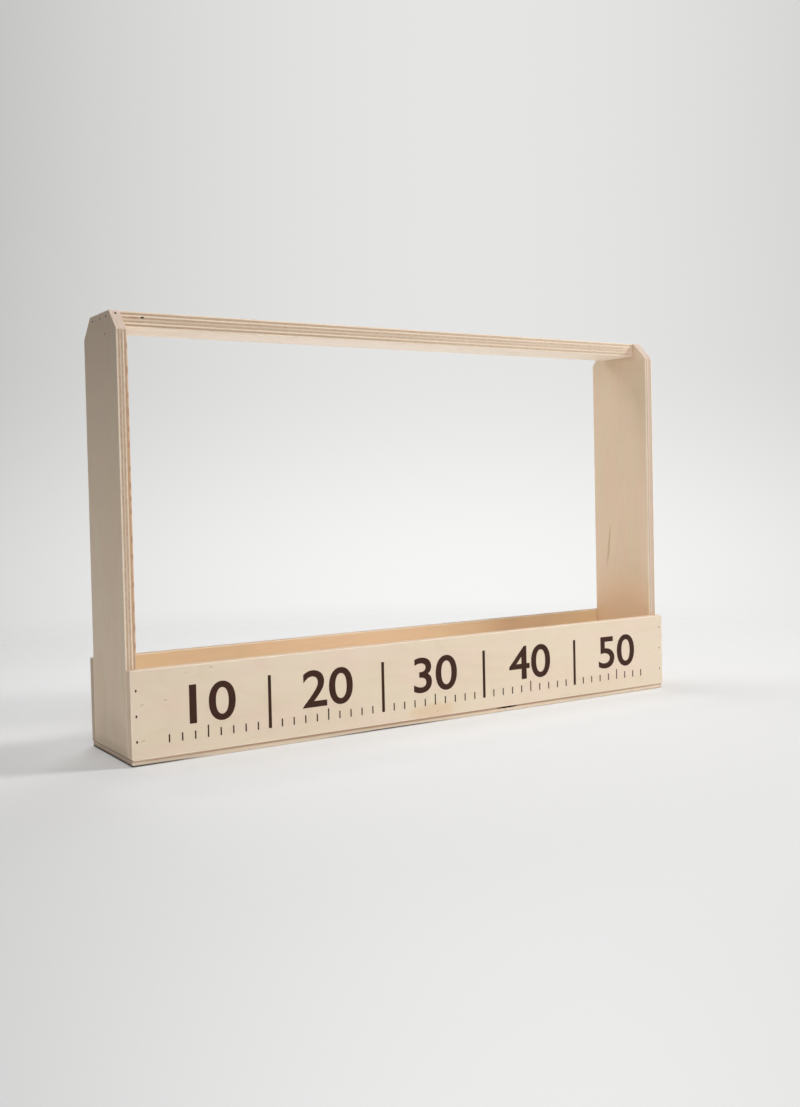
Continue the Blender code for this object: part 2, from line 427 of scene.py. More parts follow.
def veneer_group():
    """Rotary-cut birch: pale rings, fine fibres, short pores and a few pith flecks."""
    graph, given, out = shader_group(
        "Rotary Veneer",
        {"Vector": ["Vector"], "Color": ["Tone", "Grain", "Fleck"], "Float": ["Figure", "Fibre", "Flecks"]},
        {"Color": ["Color"], "Float": ["Roughness", "Height"]},
    )
    vector = given["Vector"]
    along, across, through = graph.split(vector)
    bent = graph.noise(vector, (5, 14, 14)) * (12 * MM) + across
    field = graph.noise(graph.join(along, bent, through), (2.6, 11, 11), detail=1.5, roughness=0.4)
    ring = graph.math("FRACT", field * 24)
    lines = graph.math("POWER", ring, 5) * 0.75 + graph.smooth(ring, 0, 1) * 0.25
    fibre = graph.noise(vector, (55, 2300, 2300), detail=3, roughness=0.65)
    pore = graph.smooth(graph.noise(vector, (230, 4200, 4200), detail=1), 0.64, 0.78)
    cloud = graph.noise(vector, (9, 26, 26), detail=3, roughness=0.55)
    shimmer = graph.noise(vector, (60, 9, 9))

    tilt = (0, 0, math.radians(9))
    tilted = graph.node("Mapping", {"Vector": vector, "Rotation": tilt, "Scale": (52, 210, 210)})
    cells = graph.outputs("TexVoronoi", {"Vector": tilted, "Scale": 1, "Randomness": 0.9})
    chosen = graph.smooth(graph.split(cells["Color"])[0], 0.86, 0.9)
    flecked = chosen * graph.smooth(cells["Distance"], 0.16, 0.07) * given["Flecks"]

    grained = lines * given["Figure"] + (fibre - 0.4) * given["Fibre"] + pore * given["Fibre"] * 0.35
    clouded = (cloud - 0.5) * 0.55 + (shimmer - 0.5) * 0.16
    wood = graph.mix(grained + clouded, given["Tone"], given["Grain"])
    patches = graph.smooth(graph.noise(vector, (14, 75, 75), detail=3), 0.35, 0.65)
    pinkish, greenish = (1.0, 0.975, 0.985), (0.98, 1.0, 0.965)
    wood = graph.mix(1.0, wood, graph.mix(patches, pinkish, greenish), "MULTIPLY")
    graph.fill(out, {
        "Color": graph.mix(flecked * 0.55, wood, given["Fleck"]),
        "Roughness": fibre * 0.12 + pore * 0.12 + 0.52,
        "Height": fibre * 0.5 - pore * 0.5 - flecked * 0.4,
    })
    return graph.tree


def ply_group():
    """Cut edge of plywood. Even plies have their grain along the board's own grain."""
    graph, given, out = shader_group(
        "Ply Edge",
        {
            "Vector": ["Vector"],
            "Color": ["Long", "Cross", "Glue", "Blot"],
            "Float": ["Thickness", "Plies", "Core", "Fading", "End", "Blots"],
        },
        {"Color": ["Color"], "Float": ["Roughness", "Height"]},
    )
    along, across, through = graph.split(given["Vector"])
    edge_way = along + across
    wobble = graph.noise(graph.join(edge_way, edge_way, 0), 40) - 0.5
    depth = wobble * (0.22 * MM) + through
    side = depth / given["Thickness"] * 2 - 1
    bowed = graph.math("POWER", graph.math("ABSOLUTE", side), given["Core"])
    spread = bowed * graph.math("SIGN", side)
    count = (spread * 0.5 + 0.5) * given["Plies"]
    ply = graph.math("FLOOR", count)
    odd = graph.math("MODULO", ply, 2)
    cross = graph.math("ADD", odd + given["End"], odd * given["End"] * -2, clamp=True)

    own = graph.node("TexWhiteNoise", {"W": ply}, "Value", noise_dimensions="1D")
    slow = graph.noise(graph.join(edge_way, ply * 0.37, 0), (16, 9, 1), detail=3)
    place = graph.join(edge_way, depth, 0)
    streak = graph.noise(place, (90, 6500, 1), detail=3, roughness=0.6)
    dots = graph.noise(place, (4200, 3800, 1), roughness=0.6)
    checks = graph.smooth(graph.noise(place, (2200, 260, 1), detail=1), 0.62, 0.74)
    mottle = graph.noise(place, (230, 1000, 1), detail=3, roughness=0.65)

    level = (own - 0.5) * 0.22 + (slow - 0.5) * 0.42 + 1
    long_wood = graph.scaled(given["Long"], (streak - 0.5) * 0.35 + level)
    end_grain = graph.mix(given["Fading"], given["Cross"], given["Long"])
    cross_wood = graph.scaled(end_grain, (dots - 0.5) * 0.8 - checks * 0.3 + level)
    wood = graph.mix(cross, long_wood, cross_wood)
    blotted = graph.smooth(mottle, 0.44, 0.60) * (cross * 0.95 + 0.5) * given["Blots"]
    wood = graph.mix(blotted, wood, given["Blot"])

    share = graph.math("FRACT", count)
    line = graph.smooth(graph.math("MINIMUM", share, 1 - share), 0.1, 0.02)
    broken = graph.smooth(slow, 0.3, 0.55, 0.35, 0.85)
    graph.fill(out, {
        "Color": graph.mix(line * broken, wood, given["Glue"]),
        "Roughness": cross * 0.16 + 0.6,
        "Height": (dots - checks) * cross * 0.9 + streak * (1 - cross) * 0.4 - line * 0.3,
    })
    return graph.tree


def sanded_edge_group():
    """Mask of a block's eased edges, from the distance to the nearest one, worn unevenly."""
    graph, given, out = shader_group(
        "Sanded Edges", {"Vector": ["Vector", "Half Size"], "Float": ["Width"]}, {"Float": ["Mask"]}
    )
    away = graph.vector_math("ABSOLUTE", given["Vector"])
    x, y, z = graph.split(graph.vector_math("SUBTRACT", given["Half Size"], away))
    nearer = graph.math("MINIMUM", x, y)
    further = graph.math("MAXIMUM", x, y)
    to_edge = graph.math("MAXIMUM", nearer, graph.math("MINIMUM", further, z))
    uneven = graph.noise(given["Vector"], 70, detail=3)
    width = given["Width"] * graph.smooth(uneven, 0.25, 0.75, 0.5, 1.5)
    graph.fill(out, {"Mask": graph.smooth(to_edge / width, 1, 0.2)})
    return graph.tree


def mark_or_painted_light_group():
    """Soft ragged spot that fills the unit ball of the coordinates it is given."""
    graph, given, out = shader_group(
        "Blemish", {"Vector": ["Vector"], "Float": ["Ragged", "Strength"]}, {"Float": ["Mask"]}
    )
    reach = graph.vector_math("LENGTH", given["Vector"], output="Value")
    torn = graph.noise(given["Vector"], 2.5, detail=3) - 0.5
    ragged = torn * given["Ragged"] + reach
    graph.fill(out, {"Mask": graph.smooth(ragged, 1, 0.35) * given["Strength"]})
    return graph.tree


def shared_group(name):
    """The named effect's group, built when it is first used."""
    makers = {
        "Rotary Veneer": veneer_group,
        "Ply Edge": ply_group,
        "Sanded Edges": sanded_edge_group,
        "Blemish": mark_or_painted_light_group,
    }
    return bpy.data.node_groups.get(name) or makers[name]()


@dataclass
class Blemish:
    """Spot painted into the wood's colour: a real mark, painted light or painted shade. Its middle and reach
    are in millimetres, its turn is in degrees.
    """

    middle: tuple
    reach: tuple
    colour: tuple
    strength: float
    turn: tuple = (0, 0, 0)
    ragged: float = 0.6


@dataclass
class Board:
    """How one board is cut, and which of its sides are which. Axes are X, Y or Z."""

    name: str
    node: str
    slot: str
    grain: int
    through: int
    outer: int  # 1 where the outer face is on the higher side of the through axis, else -1
    plies: int
    tone: Color
    inner_tone: Color
    closed_low: tuple = (0, 0, 0)  # sides that meet a neighbour, 1 where they do
    closed_high: tuple = (0, 0, 0)
    marks_and_painted_light: tuple = ()
    gaps: tuple = ()  # middle and size in millimetres of each spot where a ply is missing
    seed: float = 0.0
    core: float = 1.0  # above 1 the middle plies are thicker than the outer ones
    painted_light: tuple = (1.0, 1.0)  # painted light and shade: tone of the outer face at the two ends of the longer side
    inner_painted_light: tuple = (1.0, 1.0)  # painted light and shade: tone of the inner face there
    edge_painted_light: tuple = (1.0, 1.0)  # painted light and shade: tone of the cut edges there
    from_high: bool = False  # whether the painted light and shade start at the high end
    fading: tuple = (0.0, 0.0)  # how pale the cross plies are at the low and the high end of the longer side
    core_tone: Color = None  # colour of the cross plies where it isn't that of the other boards
    blots: float = 0.0  # how strong the reddish blots in the cut edges are
    figure: float = 0.08  # how clearly the growth rings show in the faces

    def ply_planes(self):
        """Places along the through axis where two plies meet."""
        low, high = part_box(self.node)
        middle = (low + high)[self.through] / 2
        half = (high - low)[self.through] / 2
        shares = [2 * i / self.plies - 1 for i in range(1, self.plies)]
        return [middle + half * math.copysign(abs(share) ** (1 / self.core), share) for share in shares]

    def corners(self, joint_line):
        """Two corners of the board, moved towards its neighbours until only the joint line is left."""
        low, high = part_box(self.node)
        closing = CAD_GAP - joint_line
        return low - Vector(self.closed_low) * closing, high + Vector(self.closed_high) * closing

    @property
    def across(self):
        return 3 - self.grain - self.through


def board_material(board, colours):
    """Veneer on the broad faces and plies on the cut edges, with the board's marks and painted light, and
    hole walls in crushed fibres and painted shade.
    """
    low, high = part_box(board.node)
    material, graph, shader = new_material(board.name + "_birch")
    coordinates = graph.outputs("TexCoord")
    place = coordinates["Object"]
    axes = graph.split(place)
    facing = graph.split(graph.vector_math("ABSOLUTE", coordinates["Normal"]))

    inner_face = low[board.through] if board.outer > 0 else high[board.through]
    depth = (axes[board.through] - inner_face) * board.outer
    thickness = high[board.through] - low[board.through]
    wood = graph.join(axes[board.grain], axes[board.across], depth)
    seeded = graph.vector_math("ADD", wood, (board.seed, board.seed, 0))

    # The drifts are painted light and shade: each face grows lighter or darker towards one end of the longer
    # side.
    longer = max((board.grain, board.across), key=lambda axis: high[axis] - low[axis])
    start, end = (high[longer], low[longer]) if board.from_high else (low[longer], high[longer])
    far = graph.math("POWER", graph.smooth(axes[longer], start, end, kind="LINEAR"), 2)
    outside = graph.smooth(depth, 0.4 * thickness, 0.6 * thickness)
    painted_light = graph.blend(outside, graph.blend(far, *board.inner_painted_light), graph.blend(far, *board.painted_light))
    veneer = graph.group(
        "Rotary Veneer",
        Vector=seeded,
        Tone=graph.scaled(graph.mix(outside, board.inner_tone, board.tone), painted_light),
        Grain=colours.grain,
        Fleck=colours.fleck,
        Figure=board.figure,
        Fibre=0.28,
        Flecks=0.25,
    )
    plies = graph.group(
        "Ply Edge",
        Vector=seeded,
        Thickness=thickness,
        Plies=board.plies,
        Core=board.core,
        Fading=graph.smooth(axes[longer], low[longer], high[longer], *board.fading),
        End=graph.smooth(facing[board.grain], 0.2, 0.98),
        Long=colours.long_ply,
        Cross=board.core_tone or colours.cross_ply,
        Glue=colours.glue,
        Blot=colours.blot,
        Blots=board.blots,
    )
    on_face = graph.smooth(facing[board.through], 0.55, 0.85)
    cut_edge = graph.scaled(plies["Color"], graph.blend(far, *board.edge_painted_light))
    colour = graph.mix(on_face, cut_edge, veneer["Color"])

    centred = graph.node("Mapping", {"Vector": place, "Location": -(low + high) / 2})
    edges = graph.group("Sanded Edges", Vector=centred, Half_Size=(high - low) / 2, Width=1.1 * MM)["Mask"]
    slant = facing[board.grain] * facing[board.across]
    # Eased edges and cut corners turn paler: partly sanded wood, partly a painted highlight along the edges
    pale = graph.math("MAXIMUM", edges * 0.45, graph.smooth(slant, 0.1, 0.5, 0, 0.3))
    colour = graph.mix(pale, colour, colours.sanded)
    mottle = graph.smooth(graph.noise(place, (450, 120, 120), detail=3), 0.40, 0.58, 0, 0.62)
    colour = graph.mix(graph.smooth(slant, 0.1, 0.5) * mottle, colour, colours.corner)

    for mark in board.marks_and_painted_light:
        turn = [math.radians(angle) for angle in mark.turn]
        middle, reach = (Vector(values) * MM for values in (mark.middle, mark.reach))
        sockets = {"Vector": place, "Location": middle, "Rotation": turn, "Scale": reach}
        spot = graph.node("Mapping", sockets, vector_type="TEXTURE")
        mask = graph.group("Blemish", Vector=spot, Ragged=mark.ragged, Strength=mark.strength)["Mask"]
        colour = graph.mix(mask, colour, mark.colour)
    # Walls of holes and gaps: crushed fibres and painted shade, near black and without specular reflection
    bored = graph.node("Attribute", output="Fac", attribute_name="bored")
    height = graph.blend(on_face, plies["Height"], veneer["Height"])
    graph.fill(shader, {
        "Base Color": graph.mix(bored, colour, colours.bored),
        "Roughness": graph.blend(on_face, plies["Roughness"], veneer["Roughness"]),
        "Specular IOR Level": graph.blend(bored, 0.35, 0),
        "Normal": graph.bump(0.5, 0.06 * MM, height),
    })
    return material


def steel_material(colours):
    """Dull wire with a brown bloom."""
    material, graph, shader = new_material("brad_steel")
    place = graph.node("TexCoord", output="Object")
    bloom = graph.smooth(graph.noise(place, 1800, detail=3), 0.4, 0.65)
    scratches = graph.noise(place, (6000, 6000, 900))
    graph.fill(shader, {
        "Base Color": graph.mix(bloom, colours.steel, colours.rust),
        "Metallic": bloom * -0.5 + 0.9,
        "Roughness": scratches * 0.3 + 0.35,
        "Normal": graph.bump(0.4, 0.02 * MM, scratches),
    })
    return material


def ink_material(colours):
    """Matt printing ink that lets the fibres under it show, with a few pinholes."""
    material, graph, shader = new_material("rule_ink")
    x, y, z = graph.split(graph.node("TexCoord", output="Object"))
    wood = graph.join(x, z, y)
    darker = [0.75 * value for value in colours.ink]
    veneer = graph.group(
        "Rotary Veneer", Vector=wood, Tone=colours.ink, Grain=darker, Fleck=colours.ink,
        Figure=0.4, Fibre=0.5, Flecks=0,
    )
    pinholes = graph.smooth(graph.noise(wood, (1300, 2600, 2600)), 0.72, 0.8)
    cloud = graph.noise(wood, (40, 60, 60), detail=3)
    colour = graph.mix(cloud * 0.2, veneer["Color"], colours.worn_ink)
    graph.fill(shader, {
        "Base Color": graph.mix(pinholes * 0.5, colour, colours.grain),
        "Roughness": cloud * 0.15 + 0.6,
        "Specular IOR Level": 0.12,
        "Normal": graph.bump(0.4, 0.04 * MM, veneer["Height"]),
    })
    return material


# Boards and what is cut out of them


def cut_board(board, sizes):
    """Board of plies with eased edges and slightly hollow cross plies."""
    low, high = board.corners(sizes.joint_line)
    piece = block(board.name, low, high)
    if board.slot == "upright_birch":
        with editing(piece, "EDGE"):
            pick(piece, "edges", lambda edge: is_top_corner(edge, high))
            bpy.ops.mesh.bevel(offset_type="OFFSET", offset=sizes.corner_cut, segments=1, affect="EDGES")
    with editing(piece, "EDGE"):
        pick(piece, "edges", lambda edge: edge.calc_face_angle(0) > SHARP)
        bpy.ops.mesh.bevel(offset_type="OFFSET", offset=sizes.eased_edge, segments=3, affect="EDGES")

    planes = board.ply_planes()
    slice_piece(piece, board.through, planes)
    for axis in (board.grain, board.across):
        span = high[axis] - low[axis]
        steps = max(2, round(span / sizes.slice_length))
        slice_piece(piece, axis, [low[axis] + span * i / steps for i in range(1, steps)])

    def is_cross_ply(face):
        place = face.calc_center_median()[board.through]
        layer = sum(plane < place for plane in planes)
        return layer % 2 == 1 and abs(face.normal[board.through]) < 0.5

    with editing(piece):
        pick(piece, "faces", is_cross_ply)
        bpy.ops.mesh.inset(thickness=sizes.ply_relief, depth=-sizes.ply_relief)
    waver(piece, (board.grain, board.across), sizes.saw_waver)
    return piece


def is_top_corner(edge, high):
    """True for an edge that runs along X at the top of an upright."""
    a, b = (vertex.co for vertex in edge.verts)
    runs_along_x = abs(a.x - b.x) > 1 * MM
    return runs_along_x and min(a.z, b.z) > high.z - WELD


def gap_in_core(middle, size, seed):
    """Cutter for a spot where a ply is missing: a ragged lump. Its middle and size are in millimetres."""
    place, scale = ([value * MM for value in values] for values in (middle, size))
    sphere = bpy.ops.mesh.primitive_ico_sphere_add
    lump = add_shape("core_gap", sphere, subdivisions=3, radius=0.5, location=place, scale=scale)
    with editing(lump, "VERT", "SELECT"):
        bpy.ops.transform.vertex_random(offset=0.12 * min(scale), uniform=0.3, normal=0.7, seed=seed)
    return lump


def painted_gap_shade(middle, size):
    """Painted shade that darkens the inside of a gap in the core."""
    return Blemish(middle, [0.6 * value for value in size], (0.02, 0.012, 0.008), 1.0, ragged=0.2)


def joint_shadow_line(corners):
    """Painted shadow along the joint where a board's left end stands on the bottom board."""
    (left, front, foot), (_right, back, _top) = corners
    reach = (1.5, 1.5 * (back - front), 1)
    return Blemish((left, (front + back) / 2, foot), reach, (0.22, 0.155, 0.10), 0.75, ragged=0.3)


# Nails

NAIL_DIRECTIONS = {
    "front": Vector((0, 1, 0)),
    "back": Vector((0, -1, 0)),
    "handle_left": Vector((1, 0, 0)),
    "handle_right": Vector((-1, 0, 0)),
    "bottom": Vector((0, 0, 1)),
}
NAIL_NODES = sorted(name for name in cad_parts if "_nail_" in name)
# Width of the thinner nails as a share of the others', by the starts of their names
THIN_PINS = {"handle_left_nail_3": 0.5, "handle_left": 0.92, "front_right": 0.75}


def look_up(table, node, otherwise=None):
    """First value of a table whose key the node's name starts with."""
    return next((value for start, value in table.items() if node.startswith(start)), otherwise)


def nail_seat(node):
    """Middle of a nail's head, and the length of the nail, from its CAD solid."""
    low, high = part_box(node)
    way = look_up(NAIL_DIRECTIONS, node)
    length = abs((high - low).dot(way))
    return (low + high) / 2 - way * length / 2, length


def nail_place(node):
    """Matrix that takes a nail which hangs down from the origin to where the node's nail is.

    The heads of the handle's nails are turned by a quarter against the others.
    """
    head, _length = nail_seat(node)
    turn = look_up(NAIL_DIRECTIONS, node).to_track_quat("-Z", "Y").to_matrix().to_4x4()
    lying = Matrix.Rotation(math.radians(90 if node.startswith("handle") else 0), 4, "Z")
    thin = look_up(THIN_PINS, node, otherwise=1)
    return Matrix.Translation(head) @ turn @ lying @ Matrix.Diagonal((thin, thin, 1, 1))


def end_face(height):
    """Test for a nail's flat end at a height."""
    return lambda face: abs(face.calc_center_median().z - height) < WELD and abs(face.normal.z) > 0.9


def make_oval(sizes):
    """Stretches what is being edited from a round nail to one with an oval head."""
    bpy.ops.mesh.select_all(action="SELECT")
    stretch = sizes.head_length / sizes.head_width
    bpy.ops.transform.resize(value=(1, stretch, 1), center_override=(0, 0, 0))


def model_brad(sizes, length):
    """Brad that hangs down from the origin, with an oval head that the punch has dished."""
    brad = rod("brad", sides=24, radius=sizes.head_width / 2, low=-sizes.head_height, high=0)
    neck, rim, slope, dish, rounding = (value * MM for value in (0.2, 0.12, 0.14, 0.12, 0.08))
    with editing(brad):
        pick(brad, "faces", end_face(-sizes.head_height))
        bpy.ops.mesh.inset(thickness=(sizes.head_width - sizes.wire_width) / 2, depth=neck)
        pull(sizes.head_height + sizes.point - length)
        pull(-sizes.point)
        bpy.ops.transform.resize(value=(0.2, 0.2, 1), center_override=(0, 0, -length))
        pick(brad, "faces", end_face(0))
        bpy.ops.mesh.inset(thickness=rim, depth=0)
        bpy.ops.mesh.inset(thickness=slope, depth=-dish)
    with editing(brad, "EDGE"):
        pick(brad, "edges", lambda edge: is_head_rim(edge, sizes.head_width / 2))
        bpy.ops.mesh.bevel(offset=rounding, segments=2, affect="EDGES")
        make_oval(sizes)
    select_only(brad)
    bpy.ops.object.shade_smooth_by_angle(angle=SHARP)
    return brad


def is_head_rim(edge, radius):
    return all(abs(vertex.co.z) < WELD and vertex.co.xy.length > radius - WELD for vertex in edge.verts)


def nail_hole(sizes, node, seed):
    """Cutter for a nail's hole, with a ragged mouth where the head tore the fibres."""
    _head, length = nail_seat(node)
    radius = sizes.head_width / 2 + sizes.clearance
    mouth = sizes.sunk - sizes.torn_depth
    hole = rod("nail_hole", sides=20, radius=radius, low=-length - sizes.clearance, high=mouth)
    with editing(hole):
        pick(hole, "faces", end_face(mouth))
        pull(sizes.torn_depth)
        flare = 1 + sizes.torn_reach / radius
        bpy.ops.transform.resize(value=(flare, flare, 1), center_override=(0, 0, 0))
        bpy.ops.transform.vertex_random(offset=0.08 * MM, uniform=1, normal=0, seed=seed)
        pull(1 * MM)
        make_oval(sizes)
    hole.data.transform(nail_place(node))
    return hole


def build_board(context, board, *nails):
    """Models and dresses a board. Its nails are given by what their nodes' names start with."""
    scene = context.scene
    piece = cut_board(board, scene.carrier_boards)
    nodes = [node for node in NAIL_NODES if node.startswith(nails)]
    cutters = [nail_hole(scene.carrier_nails, node, seed) for seed, node in enumerate(nodes)]
    cutters += [gap_in_core(middle, size, seed) for seed, (middle, size) in enumerate(board.gaps)]
    cut(piece, cutters)
    finish_shading(piece)
    dress(piece, board_material(board, scene.carrier_colours), board.slot, board.node)


# Operators. Marks and gaps are placed in millimetres.


class CARRIER_OT_panels(Operator):
    """Front and back panel of the trough"""

    bl_idname = "carrier.panels"
    bl_label = "Panels"

    def execute(self, context):
        colours = context.scene.carrier_colours
        face = FRONT_PANEL[0][Y]
        stain = Blemish((-2, face, 9.5), (32, 2, 8), (0.70, 0.47, 0.28), 0.5)
        flecks = [
            Blemish((x, face, z), (2.2, 1, 0.5), (0.36, 0.27, 0.19), strength, turn=(0, -slope, 0))
            for x, z, slope, strength in (
                (-249.8, 43.1, 20, 0.75),
                (-249.5, 17.6, 12, 0.75),
                (-232.4, 44.8, 4, 0.75),
                (-196.9, 65.0, 0, 0.75),
                (2, 8.5, 30, 0.5),
            )
        ]
        front = {
            "outer": -1,
            "marks_and_painted_light": (stain, *flecks, joint_shadow_line(FRONT_PANEL)),
            "painted_light": (1.0, 0.95),
            "edge_painted_light": (1.1, 1.04),
        }
        back = {"outer": 1, "marks_and_painted_light": (joint_shadow_line(BACK_PANEL),), "seed": 3.1, "edge_painted_light": (1.0, 0.78)}
        for side, own in (("front", front), ("back", back)):
            # The drifts paint the inner faces lighter towards the right end and darker towards the left, as
            # painted light and shade.
            board = Board(
                f"{side}_panel_board", f"{side}_panel", "panel_birch", X, Y,
                plies=context.scene.carrier_boards.wall_plies, tone=colours.panel, inner_tone=colours.inner,
                closed_low=(0, 0, 1), inner_painted_light=(1.09, 0.88), from_high=True, **own,
            )
            build_board(context, board, side, f"bottom_{side}")
        return {"FINISHED"}


# Height and reach of the small breaks in the left upright's inner ply, at its front edge
BREAKS = (
    (297, 3), (280, 4), (262, 3), (250, 5), (238, 3), (227, 4), (210, 3), (198, 4),
    (189, 3), (180, 3), (160, 4), (148, 3), (128, 3), (112, 5), (97, 5), (84, 4),
)


class CARRIER_OT_uprights(Operator):
    """Two uprights with cut top corners"""

    bl_idname = "carrier.uprights"
    bl_label = "Uprights"

    def execute(self, context):
        colours = context.scene.carrier_colours
        void = ((-253.6, -23.3, 321.4), (1.6, 2.2, 2.2))
        left = {
            "outer": -1,
            "marks_and_painted_light": (*self.left_marks(), painted_gap_shade(*void)),
            "gaps": (void,),
            "seed": 5.3,
            "edge_painted_light": (0.98, 0.76),
            "fading": (0.1, 0.05),
            "blots": 0.4,
            "figure": 0.2,
        }
        right = {
            "outer": 1,
            "marks_and_painted_light": self.right_marks(),
            "seed": 8.7,
            "edge_painted_light": (0.87, 0.87),
            "fading": (0.5, 0.5),
            "blots": 0.1,
        }
        for side, own in (("left", left), ("right", right)):
            # The drifts paint the outer faces darker towards the top and the inner faces lighter towards the
            # foot.
            board = Board(
                f"{side}_upright_board", f"{side}_upright", "upright_birch", Z, X,
                plies=context.scene.carrier_boards.wall_plies, tone=colours.upright,
                inner_tone=colours.upright_inner, closed_low=(0, 1, 1), closed_high=(0, 1, 0),
                painted_light=(1.0, 0.55), inner_painted_light=(1.08, 0.93), **own,
            )
            nails = [f"{place}_{side}" for place in ("front", "back", "handle", "bottom")]
            build_board(context, board, *nails)
        return {"FINISHED"}

    def left_marks(self):
        """Knot and painted shade at the foot of the outer face, and the reddish inner ply with its small
        breaks.
        """
        (face, front, _), (inner, _, _) = LEFT_UPRIGHT
        breaks = [
            Blemish((inner - 0.5, front, height), (1.3, 1.4, reach), (0.36, 0.17, 0.08), 0.6)
            for height, reach in BREAKS
        ]
        return (
            Blemish((face, -11.6, 307.8), (1, 1.5, 1.1), (0.14, 0.08, 0.045), 0.9),
            # Painted shade: the outer face grows darker towards its foot.
            Blemish((face, 0, 0), (2, 70, 45), (0.46, 0.36, 0.26), 0.3),
            Blemish((face, 0, 2), (2, 90, 12), (0.40, 0.31, 0.22), 0.4),
            joint_shadow_line(LEFT_UPRIGHT),
            Blemish((inner - 0.3, front, 180), (2.4, 1.4, 190), (0.54, 0.31, 0.16), 0.75, ragged=0.3),
            *breaks,
        )

    def right_marks(self):
        """Dark streak of the inner face, painted warm bounce light at its foot, and a pinkish ply."""
        face, front, _ = RIGHT_UPRIGHT[0]
        return (
            Blemish((face, 17.3, 131), (1, 1.8, 27), (0.55, 0.33, 0.225), 0.6, turn=(7.7, 0, 0)),
            # Painted light: warm light bounced from inside the trough onto the foot of the inner face.
            Blemish((face, 0, 60), (2, 90, 60), (0.86, 0.61, 0.395), 0.7, ragged=0.3),
            Blemish((face + 4, front, 190), (2.6, 1.4, 260), (0.65, 0.46, 0.38), 0.45, ragged=0.3),
        )


class CARRIER_OT_handle(Operator):
    """Handle board between the uprights' tops"""

    bl_idname = "carrier.handle"
    bl_label = "Handle"

    def execute(self, context):
        colours = context.scene.carrier_colours
        front = HANDLE[0][Y]
        gap = ((-232.5, front, 319.8), (2.9, 4, 1.3))
        brown = Blemish((-239, front, 319.6), (6, 1.5, 0.9), (0.36, 0.20, 0.10), 0.7)
        # Pinkish tint at the right end, and painted light that lifts the shade beside the right upright.
        pink = Blemish((246, front, 316), (12, 2, 8), (0.92, 0.68, 0.54), 0.42)
        board = Board(
            "handle_grip_board", "handle_board", "handle_birch", X, Z, outer=1,
            plies=context.scene.carrier_boards.thick_plies, tone=colours.handle,
            inner_tone=colours.handle_under, closed_low=(1, 0, 0), closed_high=(1, 0, 0),
            marks_and_painted_light=(painted_gap_shade(*gap), brown, pink), gaps=(gap,), seed=12.9, edge_painted_light=(0.97, 0.90),
            from_high=True, fading=(0.0, 0.5), blots=0.28,
        )
        build_board(context, board, "handle")
        return {"FINISHED"}


class CARRIER_OT_bottom(Operator):
    """Thin board that closes the trough from below"""

    bl_idname = "carrier.bottom"
    bl_label = "Bottom"

    def execute(self, context):
        colours = context.scene.carrier_colours
        left, front, _ = BOTTOM[0]
        gap = ((74, front, 3.3), (22, 3, 1.3))
        dark, pale, painted_contact_shade = colours.thin_ply, colours.long_ply, colours.painted_contact_shade
        bands = [Blemish(*band, ragged=0.3) for band in (
            ((0, front, 3.5), (400, 3, 1.5), dark, 0.75),
            ((0, front, 0.3), (400, 3, 1.6), pale, 0.85),
            ((left, 0, 0.8), (3, 130, 2.4), pale, 0.6),
            # The four dark bands from here on are painted shadow: along the lower rim at the front and at the
            # left end, where the board meets the floor, and along the top of the left end, where the upright
            # stands on it
            ((left, front, 0.2), (68, 1.5, 1.2), painted_contact_shade, 1.0),
            ((left, 0, 0.2), (1.5, 130, 2.1), painted_contact_shade, 1.0),
            ((left, 0, 4), (1.5, 130, 0.7), painted_contact_shade, 0.6),
            ((-45, front, 0.1), (80, 1.5, 1.3), painted_contact_shade, 0.9),
        )]
        board = Board(
            "bottom_thin_board", "bottom_board", "bottom_birch", Y, Z, outer=-1,
            plies=context.scene.carrier_boards.thin_plies, tone=colours.bottom, inner_tone=colours.inner,
            marks_and_painted_light=(*bands, painted_gap_shade(*gap)), gaps=(gap,), seed=17.7, core=1.7, edge_painted_light=(1.0, 0.85),
            from_high=True, core_tone=dark,
        )
        build_board(context, board, "bottom")
        return {"FINISHED"}


class CARRIER_OT_nails(Operator):
    """Brads that hold the boards together"""

    bl_idname = "carrier.nails"
    bl_label = "Nails"

    def execute(self, context):
        steel = steel_material(context.scene.carrier_colours)
        patterns = {}
        for node in NAIL_NODES:
            _head, length = nail_seat(node)
            key = round(length / MM)
            if key not in patterns:
                patterns[key] = model_brad(context.scene.carrier_nails, length)
            mesh = patterns[key].data.copy()
            mesh.transform(nail_place(node))
            brad = bpy.data.objects.new(node.replace("nail", "brad"), mesh)
            context.scene.collection.objects.link(brad)
            dress(brad, steel, "nail_steel", node)
        for pattern in patterns.values():
            bpy.data.objects.remove(pattern)
        return {"FINISHED"}


